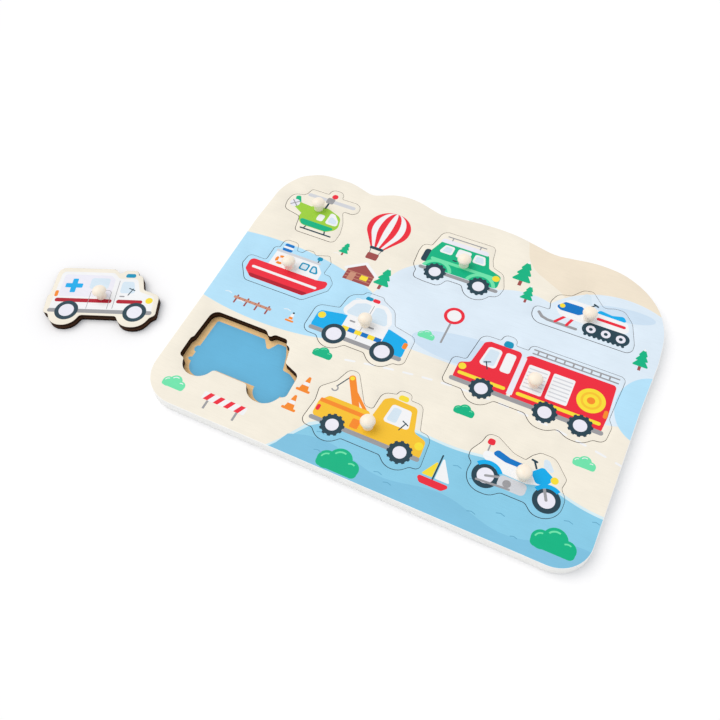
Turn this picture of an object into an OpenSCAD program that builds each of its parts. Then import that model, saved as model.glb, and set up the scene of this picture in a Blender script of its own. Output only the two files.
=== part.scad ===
// Peg puzzle: a wooden board with nine cut-out vehicles that lift out by a peg.
// Origin at the middle of the board's underside, +X along its long side, +Y to its wavy
// rear edge, +Z up through the pegs. The ambulance lies out of the board, on its left.

/* [Board] */
// Length of the board over its widest place
board_length = 308; // [305:0.5:330]
// Depth of the board from its straight front edge to its highest wave
board_depth = 235; // [231:0.5:255]
// Thickness of the upper layer, which the vehicles are sawn out of
frame_thickness = 5.5; // [5:0.1:9]
// Thickness of the backing that closes the pockets
base_thickness = 3; // [2:0.1:5]

/* [Fit] */
// Gap all round between a vehicle and its pocket, when the vehicle sits in the middle
piece_clearance = 0.25; // [0.2:0.05:0.6]
// Gap all round between a peg's tenon and its bore
tenon_clearance = 0.05; // [0.02:0.01:0.1]

/* [Pegs] */
// Widest diameter of a peg's round head
peg_head_d = 10; // [9:0.1:12]
// Diameter of the foot that stands on the vehicle
peg_foot_d = 7; // [6.5:0.1:8]
// Height of a peg above its vehicle
peg_height = 9.5; // [9:0.1:13]
// Height of the widest place of the head
peg_head_height = 6; // [5:0.1:7]
// Diameter of the tenon
tenon_d = 5; // [4:0.1:5.5]
// Depth of the tenon in the vehicle
tenon_length = 4; // [3:0.1:4.5]

/* [Vehicles] */
// Length of the helicopter over its rotor and tail
helicopter_length = 56.3; // [50:0.1:60]
// Height of the helicopter
helicopter_height = 50.5; // [46:0.1:53]
// Length of the rescue boat
rescue_boat_length = 69.7; // [63:0.1:72]
// Height of the rescue boat
rescue_boat_height = 46.8; // [42:0.1:49]
// Length of the police car
police_car_length = 76; // [70:0.1:79]
// Height of the police car
police_car_height = 54.7; // [50:0.1:57]
// Length of the ambulance
ambulance_length = 82.3; // [76:0.1:86]
// Height of the ambulance
ambulance_height = 52.6; // [48:0.1:55]
// Length of the tow truck
tow_truck_length = 82.7; // [76:0.1:86]
// Height of the tow truck
tow_truck_height = 54.9; // [50:0.1:57]
// Length of the off-roader
off_roader_length = 69.2; // [63:0.1:72]
// Height of the off-roader
off_roader_height = 52.1; // [48:0.1:54]
// Length of the snowmobile
snowmobile_length = 71.4; // [65:0.1:74]
// Height of the snowmobile
snowmobile_height = 41.6; // [38:0.1:44]
// Length of the fire engine
fire_engine_length = 109.9; // [102:0.1:113]
// Height of the fire engine
fire_engine_height = 59.9; // [55:0.1:63]
// Length of the motorcycle
motorcycle_length = 62.5; // [57:0.1:66]
// Height of the motorcycle
motorcycle_height = 40.9; // [38:0.1:44]

/* [Loose ambulance] */
// Distance from the board's left side out to the ambulance's middle
ambulance_out = 63.2; // [60:0.1:90]
// Distance from the board's front edge back to the ambulance's middle
ambulance_back = 56.4; // [20:0.1:150]
// Turn of the ambulance against the board
ambulance_turn = 22; // [0:1:90]

/* [Hidden] */

// How far the chords of a rounded corner may fall inside its arc
arc_error = 0.04;
// Turn between two points of a peg's head
head_step = 7.5;
// How far the vehicles have slid in their pockets, to the right and to the rear, as shares
// of the gap
slid_shares = [0.3, 0.3];
// Share of an outline's side that the roundings of its two ends may take together
side_share = 0.98;
// Least radius that is left where a corner that turns inward is grown
least_radius = 0.2;
// How far a cutter runs past the face that it opens
overrun = 1;
// Sides of round pegs and bores
round_sides = 48;

// Corners of the board's outline: across, up, rounding, counted in the squares of one
// drawing grid. The counts are shares: the grid is stretched to the board's own size.
board_shares = [
    [4.9, 0, 26], [304.4, 0, 21.5], [305.7, 120, 200], [307.4, 160, 80],
    [305.9, 185, 60], [298.4, 202.5, 50], [285.4, 216.6, 60], [266.4, 225.7, 45],
    [247.4, 227.3, 60], [217.4, 222.6, 35], [185.4, 230.2, 80], [168.4, 231, 80],
    [151.4, 229.9, 60], [128.4, 226.1, 30], [110.4, 231.7, 40], [98.4, 234, 40],
    [86.4, 231.9, 25], [70.4, 224.2, 12], [50.4, 230.6, 40], [24.4, 229.6, 25],
    [10.4, 221.6, 20], [0.9, 206, 40], [0, 165, 80], [2.7, 90, 300]
];

// The same for each vehicle, wheels down, each stretched to the vehicle's own size
helicopter_shares = [
    [20, 0, 4], [53.3, 0, 4], [53.5, 11, 14], [50.8, 21, 12],
    [45, 32, 1.5], [56.3, 32, 5], [56.3, 44, 6], [38.7, 44, 1.2],
    [38.5, 50.5, 5], [26.8, 50.5, 5], [27, 44.6, 1.2], [12.5, 44.7, 2.5],
    [10.7, 36.5, 5], [0.9, 34.7, 6], [0, 25.5, 10], [2, 17.6, 5],
    [16.7, 14.4, 3]
];
rescue_boat_shares = [
    [9.3, 0, 5], [56.3, 0, 5], [69.7, 15, 4], [69.7, 22.5, 4],
    [64.5, 28, 4], [59.5, 28, 1.5], [60.1, 39, 4], [56.1, 45.2, 2],
    [45.8, 41.3, 2], [44, 43.9, 2.5], [37.8, 43.9, 2.5], [35.8, 39.7, 1.2],
    [31.6, 39.7, 1.2], [29.5, 46.8, 4], [17.9, 46.8, 4], [17.8, 37.8, 1],
    [14.2, 37.4, 2.5], [14.6, 23, 1.5], [0.9, 23, 3.5], [0, 13, 5]
];
police_car_shares = [
    [0, 6.4, 6], [11.4, 6.4, 3], [17.5, 0, 11], [26.7, 0, 11],
    [32.8, 6.3, 3], [47.4, 6.3, 3], [53.5, 0, 11], [62.7, 0, 11],
    [69, 6.5, 3], [76, 7, 5], [75, 31.7, 5], [57.8, 35.3, 2.5],
    [52.6, 47, 7], [42.3, 52.1, 1.5], [40.8, 54.7, 2.5], [27.6, 54.7, 3],
    [26, 51.5, 1.2], [17.4, 47.7, 8], [15.8, 34.3, 1.5], [0.1, 30.7, 6]
];
ambulance_shares = [
    [0.5, 10.6, 3], [4.6, 9.7, 2.5], [8.6, 0, 11], [24, 0, 11],
    [28.3, 9.2, 2.5], [54, 9.1, 2.5], [58.6, 0, 11.5], [74, 0, 11.5],
    [78.6, 8.7, 3], [82.3, 11.2, 3], [81.8, 29.1, 5], [69.4, 34, 2],
    [66.1, 46.2, 4], [62.5, 47.6, 1], [61.5, 51.6, 3], [51.4, 51.6, 3],
    [49.1, 47.6, 2], [44.4, 52.6, 5], [1.9, 52.6, 6], [1.4, 27.6, 2],
    [0, 26, 3]
];
tow_truck_shares = [
    [0.3, 5.7, 5], [9.3, 5.6, 3], [15, 0, 11], [24, 0, 11],
    [29.6, 5.7, 3], [56.1, 5.6, 3], [61.8, 0, 11], [70.8, 0, 11],
    [76.4, 5.6, 3], [82.7, 6.2, 3.5], [80.8, 30.9, 6], [72.8, 31.2, 2],
    [67.4, 49.4, 5], [58.8, 49.5, 1], [57.8, 54.1, 3.5], [49.3, 54.1, 3.5],
    [48.2, 50.1, 1], [39.4, 47.7, 6], [38.7, 33.6, 2], [33.1, 33.7, 5],
    [19.3, 54.9, 4.5], [12.3, 54.9, 5], [8.3, 43.2, 5], [0, 34.7, 4],
    [2, 24.7, 8]
];
off_roader_shares = [
    [5.1, 1.9, 4], [14, 1, 8], [26, 0.9, 6], [29.3, 8.4, 3],
    [40.4, 8.4, 3], [45.3, 0, 11], [57.7, 0, 11], [61.8, 7, 2.5],
    [67.7, 8.6, 6], [69.2, 17.6, 8], [64.5, 30.1, 7], [55.7, 33, 5],
    [52.9, 39.6, 8], [50.8, 52.1, 4], [9.9, 52.1, 6], [6.9, 35.2, 1.5],
    [0.7, 34.8, 4.5], [0, 26.6, 10], [1.3, 13.1, 6], [5, 8.9, 3]
];
snowmobile_shares = [
    [0.6, 0, 8.5], [71.4, 0, 5], [71.2, 8.4, 10], [65.5, 25.4, 10],
    [58, 33.6, 6], [51.5, 33.2, 6], [44.5, 30.3, 4], [34, 41.6, 3],
    [27.5, 40.3, 6], [21.2, 32.1, 4], [12, 29.6, 6], [9.2, 21.4, 6],
    [10.8, 14.4, 1.2], [0, 14.4, 4]
];
fire_engine_shares = [
    [0, 7.3, 4], [14.4, 7.3, 3], [20.7, 0, 11], [30.3, 0, 11],
    [36.7, 7, 3], [57, 7, 3], [63.5, 0, 11], [73.1, 0, 11],
    [79.5, 4.3, 4], [86.2, 0.5, 11], [95.6, 0.5, 11], [101.6, 6, 3],
    [108.7, 6.9, 5], [109.9, 19.9, 4], [106.7, 24.9, 5], [108.7, 59.2, 4],
    [44.1, 59.2, 4], [44.1, 54.1, 1], [35.7, 54.1, 1.2], [34.7, 59.9, 4],
    [25.7, 59.9, 4], [24.7, 54.3, 1.2], [11.9, 54.1, 6], [9, 30.7, 2],
    [0.1, 29.5, 4]
];
motorcycle_shares = [
    [2.2, 0.5, 11.5], [20.6, 0.5, 9], [26.2, 5.3, 4], [41.5, 5.3, 4],
    [47, 0, 9], [62.5, 0, 12], [62.5, 17.6, 8], [58.4, 23.1, 3],
    [59.6, 29.8, 3], [49.2, 40.9, 8], [39.7, 40.9, 4], [35.5, 37, 5],
    [32.8, 32.6, 1.2], [25.2, 33.6, 12], [13, 40.6, 4], [6.1, 40.6, 4.5],
    [4.4, 33.1, 8], [0, 25.1, 6], [0.5, 19.9, 4], [3.5, 17.1, 2]
];

// Each vehicle: outline, length, height, place of its pocket's middle as shares of the
// board's length and depth, place of its peg as shares of its own length and height
OUTLINE = 0;
LENGTH = 1;
HEIGHT = 2;
PLACE_SHARES = 3;
PEG_SHARES = 4;
helicopter = [helicopter_shares, helicopter_length, helicopter_height,
    [0.1315, 0.8216], [0.472, 0.545]];
rescue_boat = [rescue_boat_shares, rescue_boat_length, rescue_boat_height,
    [0.1555, 0.5702], [0.481, 0.504]];
police_car = [police_car_shares, police_car_length, police_car_height,
    [0.3862, 0.4645], [0.504, 0.517]];
ambulance = [ambulance_shares, ambulance_length, ambulance_height,
    [0.1846, 0.2179], [0.484, 0.506]];
tow_truck = [tow_truck_shares, tow_truck_length, tow_truck_height,
    [0.5041, 0.1925], [0.5, 0.381]];
off_roader = [off_roader_shares, off_roader_length, off_roader_height,
    [0.5207, 0.7955], [0.507, 0.512]];
snowmobile = [snowmobile_shares, snowmobile_length, snowmobile_height,
    [0.8255, 0.7697], [0.518, 0.423]];
fire_engine = [fire_engine_shares, fire_engine_length, fire_engine_height,
    [0.7741, 0.4747], [0.507, 0.501]];
motorcycle = [motorcycle_shares, motorcycle_length, motorcycle_height,
    [0.8137, 0.1951], [0.557, 0.514]];
vehicles = [helicopter, rescue_boat, police_car, ambulance, tow_truck, off_roader,
    snowmobile, fire_engine, motorcycle];

// The vehicles are sawn from the upper layer, so they are as thick as it is
piece_thickness = frame_thickness;
bore_length = tenon_length + (piece_thickness - tenon_length) / 4;

// Highest value in one column of a table
function most(table, column) = max([for (row = table) row[column]]);

// Corners of an outline at a given size, about its own middle: x, y, radius
function sized(shares, length, height) =
    let (across = length / most(shares, 0), up = height / most(shares, 1))
    [for (row = shares)
        [row[0] * across - length / 2, row[1] * up - height / 2, row[2] * across]];

function xy(corner) = [corner[0], corner[1]];
function unit(v) = v / norm(v);
function left_of(v) = [-v[1], v[0]];
function wrap(list, i) = list[(i + len(list)) % len(list)];

// One corner moved out by a gap: both its sides move out by that gap
function grown_corner(before, at, after, radius, gap) =
    let (
        side_in = unit(at - before),
        side_out = unit(after - at),
        turn = cross(side_in, side_out),
        mid = left_of(side_in) + left_of(side_out),
        moved = at - mid * (2 * gap / (mid * mid)),
        rounding = turn > 0 ? radius + gap : max(radius - gap, least_radius)
    )
    [moved[0], moved[1], rounding];

function grown(corners, gap) = [for (i = [0:len(corners) - 1])
    grown_corner(xy(wrap(corners, i - 1)), xy(corners[i]), xy(wrap(corners, i + 1)),
        corners[i][2], gap)];

function side(corners, i) = xy(wrap(corners, i + 1)) - xy(wrap(corners, i));

function turn_at(corners, i) =
    let (side_in = side(corners, i - 1), side_out = side(corners, i))
    atan2(cross(side_in, side_out), side_in * side_out);

// How much of its sides a corner's rounding takes if nothing limits it
function reach_at(corners, i) =
    wrap(corners, i)[2] * tan(abs(turn_at(corners, i)) / 2);

// The share of that reach which one side leaves it beside the corner at its other end
function room_share(corners, i, other, length) =
    min(1, side_share * length / (reach_at(corners, i) + reach_at(corners, other)));

// Points of the arc that rounds one corner
function rounded_corner(corners, i) =
    let (
        turn = turn_at(corners, i),
        side_in = side(corners, i - 1),
        side_out = side(corners, i),
        reach = reach_at(corners, i) * min(
            room_share(corners, i, i - 1, norm(side_in)),
            room_share(corners, i, i + 1, norm(side_out))
        ),
        radius = reach / tan(abs(turn) / 2),
        start = xy(corners[i]) - unit(side_in) * reach,
        hub = start + left_of(unit(side_in)) * sign(turn) * radius,
        step = 2 * acos(1 - min(arc_error / radius, 1 / 4)),
        steps = max(2, ceil(abs(turn) / step)),
        heading = atan2(start[1] - hub[1], start[0] - hub[0])
    )
    [for (k = [0:steps])
        let (angle = heading + turn * k / steps)
        hub + radius * [cos(angle), sin(angle)]];

// All points of an outline with its corners rounded
function rounded(corners) =
    [for (i = [0:len(corners) - 1]) each rounded_corner(corners, i)];

function board_corners() = sized(board_shares, board_length, board_depth);
function pocket_corners(v) = sized(v[OUTLINE], v[LENGTH], v[HEIGHT]);
function piece_corners(v) = grown(pocket_corners(v), -piece_clearance);

module board_outline() {
    polygon(rounded(board_corners()));
}

// Puts a child at the middle of a vehicle's pocket
module in_pocket(v) {
    translate([
        (v[PLACE_SHARES][0] - 1 / 2) * board_length,
        (v[PLACE_SHARES][1] - 1 / 2) * board_depth,
        0
    ])
        children();
}

// Puts a child where the loose ambulance lies, on the same surface as the board
module beside_board() {
    translate([-board_length / 2 - ambulance_out, -board_depth / 2 + ambulance_back, 0])
        rotate(ambulance_turn)
            children();
}

// Puts a child in a vehicle's pocket, on the backing, as the vehicle has come to rest there
module seated(v) {
    translate([
        slid_shares[0] * piece_clearance,
        slid_shares[1] * piece_clearance,
        base_thickness
    ])
        in_pocket(v)
            children();
}

// Puts a child at the middle of the peg's foot
module at_peg(v) {
    translate([
        (v[PEG_SHARES][0] - 1 / 2) * v[LENGTH],
        (v[PEG_SHARES][1] - 1 / 2) * v[HEIGHT],
        piece_thickness
    ])
        children();
}

// A flat vehicle with the blind bore that its peg is glued into
module vehicle_piece(v) {
    difference() {
        linear_extrude(piece_thickness)
            polygon(rounded(piece_corners(v)));
        at_peg(v)
            translate([0, 0, -bore_length])
                cylinder(h = bore_length + overrun, d = tenon_d + 2 * tenon_clearance,
                    $fn = round_sides);
    }
}

// Half profile of a peg from its foot up over the round head
function peg_profile() =
    let (
        head_r = peg_head_d / 2,
        foot_r = peg_foot_d / 2,
        dome = peg_height - peg_head_height,
        flare = peg_head_height / 2
    )
    [
        [0, 0],
        [foot_r, 0],
        each [for (a = [0:head_step:90])
            [head_r - (head_r - foot_r) * cos(a),
                peg_head_height - flare * (1 - sin(a))]],
        each [for (a = [head_step:head_step:90])
            [head_r * cos(a), peg_head_height + dome * sin(a)]]
    ];

module vehicle_peg(v) {
    at_peg(v) {
        rotate_extrude($fn = round_sides)
            polygon(peg_profile());
        translate([0, 0, -tenon_length])
            cylinder(h = tenon_length, d = tenon_d, $fn = round_sides);
    }
}

// Backing board
module base_panel() {
    color("#eef0f0")
        linear_extrude(base_thickness)
            board_outline();
}

// Upper layer with a pocket sawn through it for each vehicle
module frame_panel() {
    color("#f2efe3")
        translate([0, 0, base_thickness])
            difference() {
                linear_extrude(frame_thickness)
                    board_outline();
                for (v = vehicles)
                    in_pocket(v)
                        translate([0, 0, -overrun])
                            linear_extrude(frame_thickness + 2 * overrun)
                                polygon(rounded(pocket_corners(v)));
            }
}

module helicopter_piece() {
    color("#96cd28") seated(helicopter) vehicle_piece(helicopter);
}

module rescue_boat_piece() {
    color("#f24b58") seated(rescue_boat) vehicle_piece(rescue_boat);
}

module police_car_piece() {
    color("#00a5ff") seated(police_car) vehicle_piece(police_car);
}

module ambulance_piece() {
    color("#f2efe3") beside_board() vehicle_piece(ambulance);
}

module tow_truck_piece() {
    color("#fab923") seated(tow_truck) vehicle_piece(tow_truck);
}

module off_roader_piece() {
    color("#0fbe82") seated(off_roader) vehicle_piece(off_roader);
}

module snowmobile_piece() {
    color("#dceef8") seated(snowmobile) vehicle_piece(snowmobile);
}

module fire_engine_piece() {
    color("#ff323c") seated(fire_engine) vehicle_piece(fire_engine);
}

module motorcycle_piece() {
    color("#e8ecee") seated(motorcycle) vehicle_piece(motorcycle);
}

module helicopter_peg() {
    color("#fde8cd") seated(helicopter) vehicle_peg(helicopter);
}

module rescue_boat_peg() {
    color("#fde8cd") seated(rescue_boat) vehicle_peg(rescue_boat);
}

module police_car_peg() {
    color("#fde8cd") seated(police_car) vehicle_peg(police_car);
}

module ambulance_peg() {
    color("#fde8cd") beside_board() vehicle_peg(ambulance);
}

module tow_truck_peg() {
    color("#fde8cd") seated(tow_truck) vehicle_peg(tow_truck);
}

module off_roader_peg() {
    color("#fde8cd") seated(off_roader) vehicle_peg(off_roader);
}

module snowmobile_peg() {
    color("#fde8cd") seated(snowmobile) vehicle_peg(snowmobile);
}

module fire_engine_peg() {
    color("#fde8cd") seated(fire_engine) vehicle_peg(fire_engine);
}

module motorcycle_peg() {
    color("#fde8cd") seated(motorcycle) vehicle_peg(motorcycle);
}

base_panel();
frame_panel();
helicopter_piece();
rescue_boat_piece();
police_car_piece();
ambulance_piece();
tow_truck_piece();
off_roader_piece();
snowmobile_piece();
fire_engine_piece();
motorcycle_piece();
helicopter_peg();
rescue_boat_peg();
police_car_peg();
ambulance_peg();
tow_truck_peg();
off_roader_peg();
snowmobile_peg();
fire_engine_peg();
motorcycle_peg();
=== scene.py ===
import math

import bpy
from mathutils import Matrix, Vector
from mathutils.geometry import delaunay_2d_cdt

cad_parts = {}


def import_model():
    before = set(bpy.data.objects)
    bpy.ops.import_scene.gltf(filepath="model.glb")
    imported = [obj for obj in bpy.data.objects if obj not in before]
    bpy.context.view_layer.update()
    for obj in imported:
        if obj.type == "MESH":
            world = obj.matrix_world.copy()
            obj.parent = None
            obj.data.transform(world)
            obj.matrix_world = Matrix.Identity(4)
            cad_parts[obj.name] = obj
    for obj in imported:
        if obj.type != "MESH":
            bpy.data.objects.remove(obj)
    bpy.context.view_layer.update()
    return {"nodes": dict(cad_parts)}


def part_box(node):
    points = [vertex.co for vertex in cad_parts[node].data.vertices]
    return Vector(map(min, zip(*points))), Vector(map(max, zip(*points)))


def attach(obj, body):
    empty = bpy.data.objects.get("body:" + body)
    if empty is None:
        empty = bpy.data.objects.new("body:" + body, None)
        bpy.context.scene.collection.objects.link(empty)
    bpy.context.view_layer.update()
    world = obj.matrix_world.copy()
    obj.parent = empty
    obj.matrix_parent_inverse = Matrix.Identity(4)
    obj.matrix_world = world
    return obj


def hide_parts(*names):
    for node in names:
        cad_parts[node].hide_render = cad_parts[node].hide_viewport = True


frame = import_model()

# Drawing and mesh work is in millimetres, and meshes are written in metres
MM = 0.001

# Camera of the photograph, in the part's frame: millimetres and degrees
CAMERA_PLACE = (113.2, -292.3, 435.0)
CAMERA_HEADING = 28.3
CAMERA_PITCH = 55.64
CAMERA_ROLL = 3.03
CAMERA_LENS = 38.9
CAMERA_SENSOR = 36.0
CAMERA_NEAR = 0.01

# The ambulance lies beside the board, turned from the way it sits in its pocket
POCKET_MIDDLE = Vector((-97.13, -66.29))
POCKET_CORNER = Vector((-138.28, -92.59))
LOOSE_MIDDLE = Vector((-217.2, -61.1))
LOOSE_TURN = 22

# Gap round a piece that sits in its pocket
PIECE_GAP = 0.25

# Blue silhouettes on the backing: how far they keep from the pocket's wall, and how far
# apart the points of their outlines are
SILHOUETTE_MARGIN = 3.6
SILHOUETTE_STEP = 1.0

# Edges: how far the board's rim and foot are rounded and in how many steps, and how far the
# sawn edges are eased, with the point between as a share of that
RIM_RADIUS = 0.4
FOOT_RADIUS = 0.8
RIM_STEPS = 4
SAWN_EASE = 0.05
EASE_MIDDLE = 0.3
FOOT_EASE = 0.2

# Blind bore in a vehicle for its peg
BORE_DEPTH = 4.375

# Pegs: a profile with a point at each PEG_STEP degrees, turned with PEG_SIDES sides
HEAD_R = 5.0
FOOT_R = 3.5
PEG_HEIGHT = 9.5
HEAD_HEIGHT = 6.0
TENON_R = 2.5
TENON_LENGTH = 4.0
PEG_SIDES = 64
PEG_STEP = 7.5
FOOT_BEVEL = 0.3

# Print colours as they look in white light, 0 to 255
INKS = {
    "cream": (246, 239, 224),
    "sand": (243, 230, 209),
    "lake": (183, 228, 252),
    "snow": (224, 238, 250),
    "drift": (208, 228, 246),
    "sea": (138, 205, 233),
    "deep": (128, 195, 226),
    "foam": (214, 238, 246),
    "ripple": (104, 172, 204),
    "recess": (102, 184, 224),
    "navy": (36, 66, 80),
    "pale": (238, 237, 248),
    "white": (245, 246, 248),
    "red": (239, 40, 60),
    "crimson": (180, 16, 42),
    "yellow": (248, 196, 48),
    "lemon": (250, 225, 55),
    "orange": (248, 140, 40),
    "lime": (160, 211, 62),
    "leaf": (0, 183, 132),
    "mint": (112, 230, 174),
    "blue": (0, 174, 238),
    "royal": (0, 118, 200),
    "teal": (0, 150, 190),
    "grey": (157, 157, 161),
    "silver": (212, 214, 220),
    "brown": (162, 78, 76),
    "clay": (206, 146, 122),
    "glass": (216, 233, 246),
}

# Soft bloom of the sanded pegs
BEECH_SHEEN = {"Sheen Weight": 0.8, "Sheen Roughness": 0.7, "Sheen Tint": (1.0, 0.93, 0.84, 1.0)}

# Round outlines: how far apart their points are, the fewest points of each kind, how much of
# a side one corner may take, and the angle from which a corner counts as straight
ARC_STEP = 0.8
OVAL_STEPS = 20
BOW_STEPS = 6
CORNER_STEPS = 3
CORNER_REACH = 0.49
STRAIGHT = math.radians(176)

# Angles in degrees from which an edge is shaded sharp
PANEL_SHARP = 34
PEG_SHARP = 40


def linear(colour):
    """A colour of 0 to 255 as Blender's linear red, green, blue and alpha."""
    shares = [c / 255 for c in colour]
    return tuple(c / 12.92 if c <= 0.04045 else ((c + 0.055) / 1.055) ** 2.4 for c in shares) + (1.0,)


def shaded(colour, share):
    """The colour made darker, or lighter when the share is over 1."""
    return tuple(min(255, c * share) for c in colour)


def placed(name, data):
    """A new object of the scene."""
    made = bpy.data.objects.new(name, data)
    bpy.context.scene.collection.objects.link(made)
    return made


# Materials


# The colour sockets of a Mix node, which share their names with its other sockets
MIX_A = 6
MIX_B = 7
MIX_RESULT = 2


def feed(tree, node, inputs):
    """Gives each named input of a node another node's output or a plain value."""
    for socket, value in inputs.items():
        if isinstance(value, bpy.types.NodeSocket):
            tree.links.new(value, node.inputs[socket])
        else:
            node.inputs[socket].default_value = value


def new_node(tree, kind, inputs):
    made = tree.nodes.new("ShaderNode" + kind)
    feed(tree, made, inputs)
    return made


class Finish:
    """A Principled material, with a short call for each kind of node that feeds it."""

    def __init__(self, name, specular=0.4):
        self.material = bpy.data.materials.new(name)
        self.material.use_nodes = True
        self.tree = self.material.node_tree
        self.shader = self.tree.nodes["Principled BSDF"]
        self.place = new_node(self.tree, "TexCoord", {}).outputs["Object"]
        feed(self.tree, self.shader, {"Specular IOR Level": specular})

    def noise(self, per_metre, detail=3.0):
        """Cloudy values around a half; per_metre is how fine they are along x, y and z."""
        scaled = new_node(self.tree, "Mapping", {"Vector": self.place, "Scale": per_metre})
        inputs = {"Vector": scaled.outputs["Vector"], "Scale": 1.0, "Detail": detail}
        return new_node(self.tree, "TexNoise", inputs).outputs["Fac"]

    def spread(self, value, low, high, start=0.3, stop=0.7):
        """The value stretched from start and stop to low and high."""
        inputs = {"Value": value, "From Min": start, "From Max": stop, "To Min": low, "To Max": high}
        return new_node(self.tree, "MapRange", inputs).outputs["Result"]

    def add(self, a, b):
        node = new_node(self.tree, "Math", {0: a, 1: b})
        node.operation = "ADD"
        return node.outputs["Value"]

    def mix(self, factor, a, b):
        """Two colours mixed; each is a colour or another node's output."""
        node = new_node(self.tree, "Mix", {})
        node.data_type = "RGBA"
        a, b = [linear(c) if isinstance(c, tuple) else c for c in (a, b)]
        feed(self.tree, node, {"Factor": factor, MIX_A: a, MIX_B: b})
        return node.outputs[MIX_RESULT]

    def bands(self, value, *stops):
        """Colours along a value, each stop a place and a colour."""
        node = new_node(self.tree, "ValToRGB", {"Fac": value})
        marks = node.color_ramp.elements
        while len(marks) < len(stops):
            marks.new(1.0)
        for mark, (where, colour) in zip(marks, stops):
            mark.position = where
            mark.color = linear(colour)
        return node.outputs["Color"]

    def finish(self, colour, roughness, height, depth):
        """Links the colour, the roughness and a bump whose depth is in mm."""
        bump = new_node(self.tree, "Bump", {"Distance": depth * MM, "Height": height})
        normal = bump.outputs["Normal"]
        feed(self.tree, self.shader, {"Base Color": colour, "Roughness": roughness, "Normal": normal})
        return self.material


def printed(name):
    """Satin print on sanded wood: the fibres and pores show very faintly through the ink."""
    ink = INKS[name]
    made = Finish("ink_" + name, 0.2)
    fibres = made.noise((110, 1500, 1500))
    pores = made.noise((1600, 1600, 1600), 2.0)
    clouds = made.noise((45, 60, 60), 2.0)
    tone = made.mix(made.spread(clouds, 0, 1), shaded(ink, 1.006), shaded(ink, 0.985))
    colour = made.mix(made.spread(fibres, 0, 0.5, 0.45, 0.75), tone, shaded(ink, 0.965))
    return made.finish(colour, made.spread(pores, 0.4, 0.54), made.add(fibres, pores), 0.012)


def painted_rim():
    """White paint on the board's outer edge, with the faint drag of the roller."""
    made = Finish("rim_paint")
    drag = made.noise((40, 40, 1400))
    blotch = made.noise((120, 120, 200))
    colour = made.mix(made.spread(blotch, 0, 1), (253, 253, 251), (248, 247, 243))
    return made.finish(colour, made.spread(drag, 0.36, 0.5), drag, 0.03)


def sawn_edge(name, outer, core):
    """Wood sawn by a beam: burnt dark, with plies as bands and streaks down the wall."""
    made = Finish(name, 0.08)
    streaks = made.noise((1500, 1500, 30))
    blotch = made.noise((260, 260, 500))
    level = new_node(made.tree, "Attribute", {})
    level.attribute_name = "ply_depth"
    depth = made.add(level.outputs["Fac"], made.spread(blotch, -0.025, 0.025))
    dark = shaded(outer, 0.6)
    plies = made.bands(
        depth, (0.0, dark), (0.06, outer), (0.3, outer), (0.34, core), (0.62, core),
        (0.66, outer), (0.9, outer), (0.95, shaded(core, 1.35)), (1.0, shaded(core, 1.1)))
    colour = made.mix(made.spread(streaks, 0, 0.55), plies, dark)
    return made.finish(colour, made.spread(streaks, 0.75, 0.6), streaks, 0.1)


def bare_wood(name, light, dark):
    """Unpainted birch: long grain, fine pores and a few darker clouds."""
    made = Finish(name, 0.3)
    grain = made.noise((12, 420, 420), 4.0)
    pores = made.noise((240, 2600, 2600), 2.0)
    clouds = made.noise((14, 26, 26))
    base = made.mix(made.spread(grain, 0, 1, 0.35, 0.65), light, dark)
    toned = made.mix(made.spread(clouds, 0, 0.45), base, shaded(dark, 0.94))
    colour = made.mix(made.spread(pores, 0, 0.35, 0.58, 0.75), toned, shaded(dark, 0.7))
    return made.finish(colour, made.spread(grain, 0.5, 0.66), made.add(grain, pores), 0.06)


def turned_beech():
    """Sanded beech turned along its grain, with its short dark flecks and a soft bloom."""
    made = Finish("beech", 0.45)
    feed(made.tree, made.shader, BEECH_SHEEN)
    grain = made.noise((420, 420, 60), 4.0)
    flecks = made.noise((2200, 2200, 420), 2.0)
    base = made.mix(made.spread(grain, 0, 1), (255, 245, 229), (255, 239, 217))
    colour = made.mix(made.spread(flecks, 0, 0.4, 0.6, 0.74), base, (245, 218, 189))
    return made.finish(colour, made.spread(grain, 0.34, 0.46), made.add(grain, flecks), 0.025)


MATERIALS = {name: printed(name) for name in INKS}
MATERIALS["rim"] = painted_rim()
MATERIALS["sawn"] = sawn_edge("sawn_edge", (40, 22, 11), (72, 43, 25))
MATERIALS["sawn_pocket"] = sawn_edge("sawn_pocket", (46, 25, 9), (78, 46, 24))
MATERIALS["back"] = bare_wood("bare_back", (253, 214, 154), (243, 197, 135))
MATERIALS["birch"] = bare_wood("bare_birch", (240, 217, 178), (222, 190, 146))
MATERIALS["beech"] = turned_beech()


# Shapes of the print, each a list of points that runs round one closed outline


def oval(x, y, across, up, turn=0):
    """An ellipse by its two radii."""
    steps = max(OVAL_STEPS, int(math.tau * max(across, up) / ARC_STEP))
    c = math.cos(math.radians(turn))
    s = math.sin(math.radians(turn))
    ring = [math.tau * k / steps for k in range(steps)]
    flat = [(across * math.cos(t), up * math.sin(t)) for t in ring]
    return [(x + c * u - s * v, y + s * u + c * v) for u, v in flat]


def disc(x, y, r):
    return oval(x, y, r, r)


def arc(x, y, r, turns):
    """Points round a centre, one at each of the angles."""
    return [(x + r * math.cos(t), y + r * math.sin(t)) for t in turns]


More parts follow.
